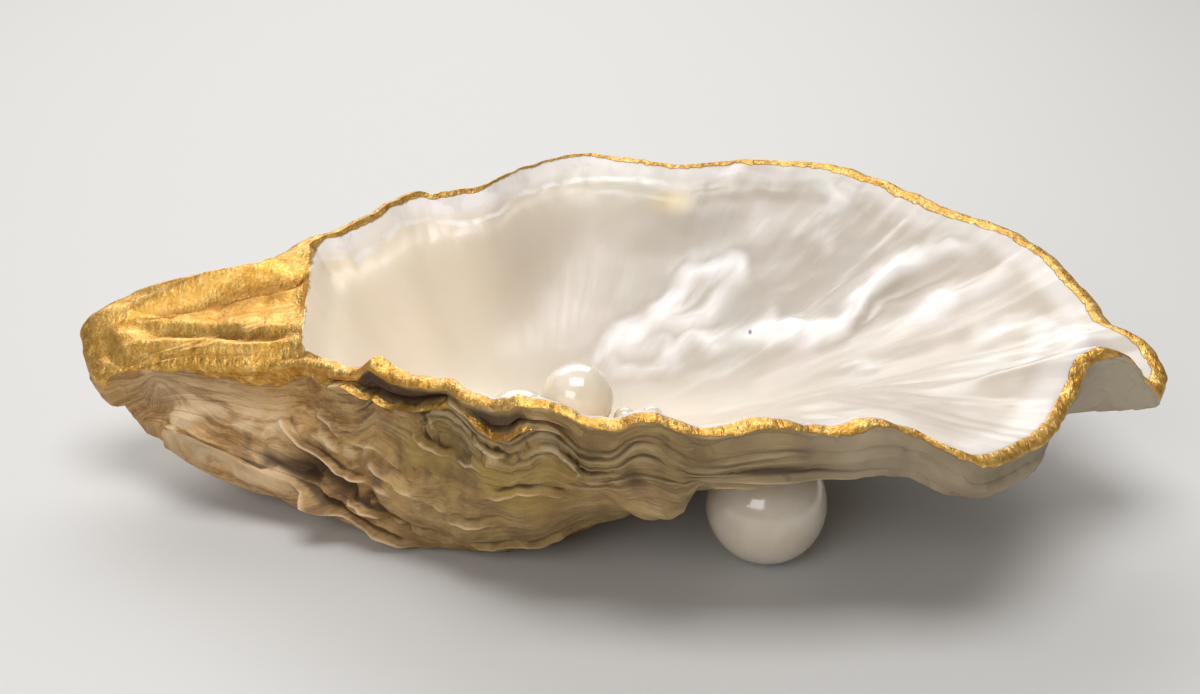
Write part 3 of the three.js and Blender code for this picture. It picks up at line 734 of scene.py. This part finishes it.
hue = tinted(gold_paint, glint, hue, GOLD_GLINT)
hue = tinted(gold_paint, shaded, hue, GOLD_SHADE)
# Painted shade: the gold is darker where the mark sinks below nought, as in the grooves of the hinge plate.
hue = tinted(gold_paint, ranged(gold_paint, groove_shade, -0.1, -0.9, 0, 0.75), hue, GOLD_GROOVE_SHADE)
dull = ranged(gold_paint, grit, 0.3, 0.7, 0.36, 0.54)
height = weighted(gold_paint, *zip((broad, stroke, fine, grit), GOLD_HEIGHTS))
height = times(gold_paint, maths(gold_paint, "SUBTRACT", height, GOLD_HEIGHT_MEAN), lively)
node(gold_paint, "NodeGroupOutput", {"Mask": mask, "Color": hue, "Roughness": dull, "Height": height})


def painted(tree, bare_color, bare_roughness, bare_height, coat):
    gold = node(tree, "ShaderNodeGroup", node_tree=gold_paint)
    tree.links.new(marked(tree, "paint"), gold.inputs["Depth"])
    tree.links.new(marked(tree, "mark"), gold.inputs["GrooveShade"])
    mask = gold.outputs["Mask"]
    bump_height = mixed(tree, mask, bare_height, maths(tree, "ADD", gold.outputs["Height"], GOLD_LIFT))
    relief = node(tree, "ShaderNodeBump", {"Height": bump_height, "Strength": 0.55, "Distance": 0.00035})
    shader = node(tree, "ShaderNodeBsdfPrincipled", {
        "Base Color": tinted(tree, mask, bare_color, gold.outputs["Color"]),
        "Roughness": mixed(tree, mask, bare_roughness, gold.outputs["Roughness"]),
        "Metallic": times(tree, mask, GOLD_METAL),
        "Coat Weight": mixed(tree, mask, coat, 0.0),
        "Normal": relief.outputs[0],
    })
    node(tree, "ShaderNodeOutputMaterial", {"Surface": shader.outputs[0]})
    return shader


# Nacre: pearly lime in sheets thinner than a hair, cream to grey, with silky streaks from the hinge
# to the margin and faint rose and sea-green lights. Painted shade darkens the middle of the bowl and
# the sunken creases; painted highlights and sheen lighten the raised creases, the silky streaks at the
# right end and the band and shelf under the back rim. Places are in metres, scales are per metre.
CREAM, CREAM_LIGHT = (0.88, 0.74, 0.56, 1), (0.93, 0.82, 0.66, 1)
BOWL_SHADE, BOWL_SHADE_AT, BOWL_SHADE_SCALE = (0.42, 0.368, 0.302, 1), (0.013, 0.018, 0), (27, 45, 1)
SILK_GREY, SILK_SHEEN, RIGHT_END = (0.445, 0.385, 0.322, 1), (0.76, 0.7, 0.64, 1), (-0.002, 0.026)
ROSE, SEA_GREEN = (0.76, 0.64, 0.61, 1), (0.6, 0.65, 0.62, 1)
CREASE_SHADE, CREASE_HIGHLIGHT = (0.5, 0.43, 0.37, 1), (0.95, 0.91, 0.9, 1)
RIM_PALE_AND_HIGHLIGHT, SHELF_LINE_HIGHLIGHT = (0.95, 0.92, 0.91, 1), (0.98, 0.95, 0.94, 1)
CRUMPLE_GREY, EDGE_GREY = (0.66, 0.61, 0.58, 1), (0.56, 0.52, 0.52, 1)
YELLOW, YELLOW_AT, YELLOW_SCALE = (0.72, 0.56, 0.27, 1), (0.0083, 0.0279, 0.0201), (260, 330, 500)
SPECK, SPECK_AT, SPECK_SCALE = (0.05, 0.07, 0.13, 1), (0.0169, 0.0109, 0.0098), (3600, 1500, 500)
nacre, tree, place = new_material("nacre")
sweep = marked(tree, "ways", "Vector")
sweep_parts = node(tree, "ShaderNodeSeparateXYZ", {0: sweep}).outputs
from_rim = marked(tree, "rimway")
crease_gleam_and_shade = marked(tree, "mark")
cloud = speckle(tree, place, 55, 3)
silk = speckle(tree, sweep, 1, 4, 0.6, (5, 15, 15))
thread = speckle(tree, sweep, 1, 3, 0.6, (5, 110, 110))
tint = speckle(tree, place, 95, 2)
crumple = speckle(tree, place, 420, 3)
shade = from_spot(tree, place, BOWL_SHADE_AT, BOWL_SHADE_SCALE)
right_end = ranged(tree, node(tree, "ShaderNodeSeparateXYZ", {0: place}).outputs["X"], *RIGHT_END)
body = tinted(tree, ranged(tree, cloud, 0.3, 0.7), CREAM, CREAM_LIGHT)
body = tinted(tree, ranged(tree, shade, 1.15, 0.2, 0, 0.92), body, BOWL_SHADE)
body = tinted(tree, times(tree, right_end, 0.8), body, SILK_GREY)
# Painted sheen: lighter silky streaks towards the right end.
body = tinted(tree, times(tree, ranged(tree, silk, 0.5, 0.75, 0, 0.4), right_end), body, SILK_SHEEN)
body = tinted(tree, ranged(tree, tint, 0.52, 0.75, 0, 0.3), body, ROSE)
body = tinted(tree, ranged(tree, tint, 0.48, 0.25, 0, 0.25), body, SEA_GREEN)
# Painted shade along the sunken creases and painted highlights along the raised ones, read from the mark.
body = tinted(tree, ranged(tree, crease_gleam_and_shade, -0.15, -0.9, 0, 0.5), body, CREASE_SHADE)
silky_highlight = maths(tree, "SUBTRACT", weighted(tree, (crease_gleam_and_shade, 1.0), (silk, 0.5)), 0.25)
body = tinted(tree, ranged(tree, silky_highlight, 0.05, 1.15, 0, 0.8), body, CREASE_HIGHLIGHT)
towards_back = weighted(tree, (sweep_parts["Z"], 1.0), (sweep_parts["Y"], -0.55))
towards_back = ranged(tree, towards_back, 0.45, 1.0)
# The band a few mm in from the rim: whiter nacre with a painted highlight, strongest towards the back.
rim_band = times(tree, ranged(tree, from_rim, -5, -2.8), ranged(tree, tint, 0.35, 0.6, 0.5, 0.9))
rim_band = times(tree, rim_band, mixed(tree, towards_back, 0.45, 1.0))
body = tinted(tree, rim_band, body, RIM_PALE_AND_HIGHLIGHT)
# Painted highlight: a broken bright line along the ledge under the back rim.
shelf_highlight = maths(tree, "ABSOLUTE", maths(tree, "ADD", from_rim, mixed(tree, tint, 1.5, 7.5)))
shelf_highlight = times(tree, ranged(tree, shelf_highlight, 0.6, 0.1, 0, 0.7), ranged(tree, crumple, 0.35, 0.6))
body = tinted(tree, times(tree, shelf_highlight, towards_back), body, SHELF_LINE_HIGHLIGHT)
crumpled = times(tree, ranged(tree, crumple, 0.48, 0.35, 0, 0.45), times(tree, rim_band, towards_back))
body = tinted(tree, crumpled, body, CRUMPLE_GREY)
body = tinted(tree, ranged(tree, from_rim, -1.8, -0.7, 0, 0.75), body, EDGE_GREY)
yellow = ranged(tree, from_spot(tree, place, YELLOW_AT, YELLOW_SCALE), 1.1, 0.1)
body = tinted(tree, times(tree, yellow, ranged(tree, cloud, 0.2, 0.6, 0.4, 0.75)), body, YELLOW)
speck = from_spot(tree, place, SPECK_AT, SPECK_SCALE)
body = tinted(tree, ranged(tree, speck, 1.0, 0.4, 0, 0.9), body, SPECK)
gloss = mixed(tree, ranged(tree, silk, 0.3, 0.7), 0.5, 0.34)
fold = times(tree, weighted(tree, (silk, 0.55), (thread, 0.2)), mixed(tree, right_end, 0.06, 0.6))
fold = weighted(tree, (fold, 1.0), (speckle(tree, place, 260, 2), 0.35))
nacre_shader = painted(tree, body, gloss, fold, 0.35)
nacre_shader.inputs["Coat Roughness"].default_value = 0.32
nacre_shader.inputs["Specular IOR Level"].default_value = 0.6
shell.data.materials.append(nacre)

# Weathered outside: chalky tan by the hinge, olive with dark growth lines along the front, paler and
# thinner towards the frilled end. Painted shade darkens the steps, crevices, the pocket and the grooves
# of the growth lines; painted highlights lighten the edges of the ledges, the ridges and the lips
# below the growth lines.
TAN_DARK, TAN, TAN_CHALK = (0.3, 0.152, 0.05, 1), (0.56, 0.335, 0.125, 1), (0.66, 0.445, 0.23, 1)
OLIVE_DARK, OLIVE = (0.27, 0.165, 0.06, 1), (0.42, 0.28, 0.11, 1)
PALE_DARK, PALE, END_PALE = (0.285, 0.22, 0.14, 1), (0.385, 0.305, 0.2, 1), (0.5, 0.42, 0.31, 1)
TO_OLIVE, TO_PALE, TO_END, TO_SMOOTH = (-0.03, -0.012), (-0.004, 0.026), (0.034, 0.05), (-0.002, 0.026)
HAIR_LIGHT, LINE_DARK, SEAM_DARK = (0.6, 0.47, 0.31, 1), (0.1, 0.06, 0.03, 1), (0.09, 0.055, 0.03, 1)
BLOTCH_DARK = (0.12, 0.065, 0.03, 1)
RIPPLE_LIP_HIGHLIGHT, RIPPLE_GROOVE_SHADE, RIPPLE_LIP = (0.56, 0.45, 0.27, 1), (0.085, 0.05, 0.028, 1), 0.017
THIN_OCHRE, CHALK_DUST, BROWN_STAIN_AND_SHADE = (0.42, 0.28, 0.075, 1), (0.72, 0.52, 0.31, 1), (0.075, 0.04, 0.02, 1)
STEP_SHADE, LEDGE_HIGHLIGHT = (0.075, 0.042, 0.02, 1), (0.76, 0.58, 0.36, 1)
RIPPLES = ((0.052, 0.6), (0.078, 0.8), (0.118, 1.0), (0.15, 0.8), (0.19, 0.7), (0.235, 0.5))
husk, tree, place = new_material("weathered_outside")
rings = marked(tree, "ways", "Vector")
ring_parts = node(tree, "ShaderNodeSeparateXYZ", {0: rings}).outputs
step_shade_and_highlight = marked(tree, "mark")
patch = speckle(tree, place, 130, 4)
blotch = speckle(tree, place, 210, 3)
chalk = speckle(tree, place, 900, 4, 0.65)
shift = node(tree, "ShaderNodeCombineXYZ", {0: times(tree, speckle(tree, place, 240, 3), 0.07)}).outputs[0]
strands = node(tree, "ShaderNodeVectorMath", {0: rings, 1: shift}, operation="ADD").outputs[0]
strand = speckle(tree, strands, 1, 4, 0.6, (20, 8, 8))
lines = speckle(tree, strands, 1, 3, 0.6, (80, 7, 7))
hairs = speckle(tree, strands, 1, 3, 0.6, (240, 14, 14))
along = node(tree, "ShaderNodeSeparateXYZ", {0: place}).outputs["X"]
drift = maths(tree, "SUBTRACT", weighted(tree, (along, 1.0), (patch, 0.02)), 0.01)
tan = tinted(tree, ranged(tree, strand, 0.36, 0.62), TAN_DARK, TAN)
tan = tinted(tree, ranged(tree, chalk, 0.5, 0.72, 0, 0.6), tan, TAN_CHALK)
olive = tinted(tree, ranged(tree, strand, 0.35, 0.65), OLIVE_DARK, OLIVE)
pale = tinted(tree, ranged(tree, patch, 0.35, 0.65), PALE_DARK, PALE)
crust = tinted(tree, ranged(tree, drift, *TO_OLIVE), tan, olive)
crust = tinted(tree, ranged(tree, drift, *TO_PALE), crust, pale)
crust = tinted(tree, ranged(tree, drift, *TO_END), crust, END_PALE)
lined = ranged(tree, drift, *TO_SMOOTH, 1.0, 0.15)
crust = tinted(tree, times(tree, lined, ranged(tree, hairs, 0.54, 0.74, 0, 0.3)), crust, HAIR_LIGHT)
crust = tinted(tree, times(tree, lined, ranged(tree, lines, 0.42, 0.28, 0, 0.3)), crust, LINE_DARK)
seam = maths(tree, "ABSOLUTE", maths(tree, "SUBTRACT", speckle(tree, rings, 1, 1, 0.4, (30, 2, 2)), 0.47))
crust = tinted(tree, times(tree, lined, ranged(tree, seam, 0.024, 0.004, 0, 0.28)), crust, SEAM_DARK)
crust = tinted(tree, ranged(tree, blotch, 0.62, 0.74, 0, 0.75), crust, BLOTCH_DARK)
in_front = times(tree, ranged(tree, ring_parts["Z"], -0.35, -0.7), ranged(tree, drift, 0.02, 0.006))
clear = times(tree, ranged(tree, speckle(tree, rings, 1, 2, 0.5, (22, 6, 6)), 0.36, 0.58), in_front)
grown_to = maths(tree, "SUBTRACT", weighted(tree, (ring_parts["X"], 1.0), (blotch, 0.012)), 0.006)
ripple_shaded_groove, ripple_lit_lip = 0.0, 0.0
for at, strength in RIPPLES:
    off_dark = maths(tree, "ABSOLUTE", maths(tree, "SUBTRACT", grown_to, at))
    off_light = maths(tree, "ABSOLUTE", maths(tree, "SUBTRACT", grown_to, at + RIPPLE_LIP))
    ripple_shaded_groove = maths(tree, "MAXIMUM", ripple_shaded_groove, ranged(tree, off_dark, 0.0085, 0.001, 0, strength))
    ripple_lit_lip = maths(tree, "MAXIMUM", ripple_lit_lip, ranged(tree, off_light, 0.012, 0.002, 0, strength))
ripple_shaded_groove, ripple_lit_lip = times(tree, ripple_shaded_groove, clear), times(tree, ripple_lit_lip, clear)
# The growth lines along the front: dark grooves, partly their own colour and partly painted shade, each with
# a painted highlight on the lip just below it.
crust = tinted(tree, times(tree, ripple_lit_lip, 0.55), crust, RIPPLE_LIP_HIGHLIGHT)
crust = tinted(tree, times(tree, ripple_shaded_groove, 0.85), crust, RIPPLE_GROOVE_SHADE)
stain_and_shade_tones = node(tree, "ShaderNodeSeparateXYZ", {0: marked(tree, "tones", "Vector")}).outputs
crust = tinted(tree, times(tree, stain_and_shade_tones["Y"], ranged(tree, patch, 0.3, 0.6, 0.4, 1.0)), crust, THIN_OCHRE)
crust = tinted(tree, times(tree, stain_and_shade_tones["Z"], ranged(tree, strand, 0.35, 0.6, 0.2, 0.9)), crust, CHALK_DUST)
# Brown: stains, and painted shade in the pockets.
crust = tinted(tree, times(tree, stain_and_shade_tones["X"], ranged(tree, blotch, 0.35, 0.6, 0.3, 1.0)), crust, BROWN_STAIN_AND_SHADE)
# Painted shade where the mark sinks (steps, crevices, growth-line recesses, the pocket) and painted
# highlight where it rises (ledge edges, folds, lips).
crust = tinted(tree, ranged(tree, step_shade_and_highlight, -0.12, -0.8, 0, 0.88), crust, STEP_SHADE)
crust = tinted(tree, ranged(tree, step_shade_and_highlight, 0.3, 0.9, 0, 0.72), crust, LEDGE_HIGHLIGHT)
coarse = weighted(tree, (hairs, 0.4), (chalk, 0.9), (lines, 0.35), (strand, 0.9))
coarse = weighted(tree, (coarse, lined), (ripple_lit_lip, 0.9), (ripple_shaded_groove, -1.2))
husk_shader = painted(tree, crust, ranged(tree, patch, 0.3, 0.7, 0.5, 0.72), coarse, 0.08)
husk_shader.inputs["Coat Roughness"].default_value = 0.3
husk_shader.inputs["Specular IOR Level"].default_value = 0.22
shell.data.materials.append(husk)

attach(shell, "root")
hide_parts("shell")

# The pearls: two large ones glued under the frilled end as feet, four smaller ones loose in the bowl.
# Each is a round bead with a thick lacquer of pearl, very slightly out of true.
PEARLS = (
    ("pearl_foot_front", 6.0, FEET[0], 5),
    ("pearl_foot_back", 6.0, FEET[1], 5),
    ("pearl_large", 4.0, (-3, -1.8, 8), 5),
    ("pearl_left", 3.6, (-9.1, -6.4, 7.65), 5),
    ("pearl_small_inner", 1.25, (2.2, -2.2, 5.85), 4),
    ("pearl_small_outer", 1.25, (5.1, -2.6, 6.2), 4),
)
OUT_OF_TRUE, DENT_SCALE = 0.006, 220
PEARL_WARM, PEARL_LIGHT, PEARL_ROSE = (0.68, 0.58, 0.44, 1), (0.8, 0.72, 0.6, 1), (0.8, 0.68, 0.64, 1)
lustre, tree, place = new_material("pearl_lustre")
haze = speckle(tree, place, 160, 2)
skin_grain = speckle(tree, place, 1500, 2)
pearl_color = tinted(tree, ranged(tree, haze, 0.3, 0.7), PEARL_WARM, PEARL_LIGHT)
pearl_color = tinted(tree, ranged(tree, haze, 0.5, 0.75, 0, 0.4), pearl_color, PEARL_ROSE)
relief = node(tree, "ShaderNodeBump", {"Height": skin_grain, "Strength": 0.06, "Distance": 0.0002})
pearl_shader = node(tree, "ShaderNodeBsdfPrincipled", {
    "Base Color": pearl_color,
    "Roughness": ranged(tree, skin_grain, 0.3, 0.7, 0.16, 0.24),
    "Coat Weight": 1.0,
    "Coat Roughness": 0.05,
    "Specular IOR Level": 0.7,
    "Normal": relief.outputs[0],
})
node(tree, "ShaderNodeOutputMaterial", {"Surface": pearl_shader.outputs[0]})
for name, radius, centre, fineness in PEARLS:
    bead_mesh = bmesh.new()
    bmesh.ops.create_icosphere(bead_mesh, subdivisions=fineness, radius=radius * MM)
    for vert in bead_mesh.verts:
        vert.co *= 1 + OUT_OF_TRUE * (noise.noise(vert.co * DENT_SCALE + Vector(centre)) - 0.5)
    bmesh.ops.translate(bead_mesh, verts=bead_mesh.verts, vec=Vector(centre) * MM)
    for face in bead_mesh.faces:
        face.smooth = True
    pearl = bpy.data.objects.new("lustre_" + name, bpy.data.meshes.new("lustre_" + name))
    bead_mesh.to_mesh(pearl.data)
    bead_mesh.free()
    pearl.data.materials.append(lustre)
    bpy.context.scene.collection.objects.link(pearl)
    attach(pearl, "root")
    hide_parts(name)

# The stand: a plain pale table top under soft studio light, seen from a low step in front.
# One broad panel hangs above, one behind, and a weaker one fills from the front left.
TABLE, TABLE_HALF = (0.6, 0.59, 0.575, 1), 2.0
PANELS = (
    ("panel_above", (0.0, -0.06, 0.45), (0.3, 0.22), 1.3),
    ("panel_behind", (-0.06, 0.38, 0.3), (0.5, 0.25), 1.5),
    ("panel_front", (-0.2, -0.42, 0.3), (0.3, 0.3), 0.95),
)
LIT_SPOT = Vector((0, 0, 0.012))
ROOM_LIGHT, ROOM_STRENGTH = (1, 0.98, 0.95, 1), 0.2
VIEWED_FROM, LOOKING_DOWN, FOCAL_LENGTH, SENSOR = (-0.0005, -0.14745, 0.08215), 25, 45.0, 36.0
floor_mesh = bmesh.new()
bmesh.ops.create_grid(floor_mesh, x_segments=1, y_segments=1, size=TABLE_HALF)
floor = bpy.data.objects.new("table_top", bpy.data.meshes.new("table_top"))
floor_mesh.to_mesh(floor.data)
floor_mesh.free()
paper = bpy.data.materials.new("pale_table")
paper.use_nodes = True
paper.node_tree.nodes["Principled BSDF"].inputs["Base Color"].default_value = TABLE
paper.node_tree.nodes["Principled BSDF"].inputs["Roughness"].default_value = 0.6
floor.data.materials.append(paper)
bpy.context.scene.collection.objects.link(floor)

for name, hung_at, size, power in PANELS:
    lamp = bpy.data.lights.new(name, "AREA")
    lamp.shape = "RECTANGLE"
    lamp.size, lamp.size_y = size
    lamp.energy = power
    panel = bpy.data.objects.new(name, lamp)
    panel.location = hung_at
    panel.rotation_euler = (LIT_SPOT - Vector(hung_at)).to_track_quat("-Z", "Y").to_euler()
    bpy.context.scene.collection.objects.link(panel)
room = bpy.data.worlds.new("studio")
room.use_nodes = True
room.node_tree.nodes["Background"].inputs["Color"].default_value = ROOM_LIGHT
room.node_tree.nodes["Background"].inputs["Strength"].default_value = ROOM_STRENGTH
bpy.context.scene.world = room
bpy.context.scene.view_settings.view_transform = "Standard"

lens = bpy.data.cameras.new("viewer")
lens.lens, lens.sensor_width = FOCAL_LENGTH, SENSOR
lens.clip_start = 0.005
viewer = bpy.data.objects.new("viewer", lens)
viewer.location = VIEWED_FROM
viewer.rotation_euler = (math.radians(90 - LOOKING_DOWN), 0, 0)
bpy.context.scene.collection.objects.link(viewer)
bpy.context.scene.camera = viewer
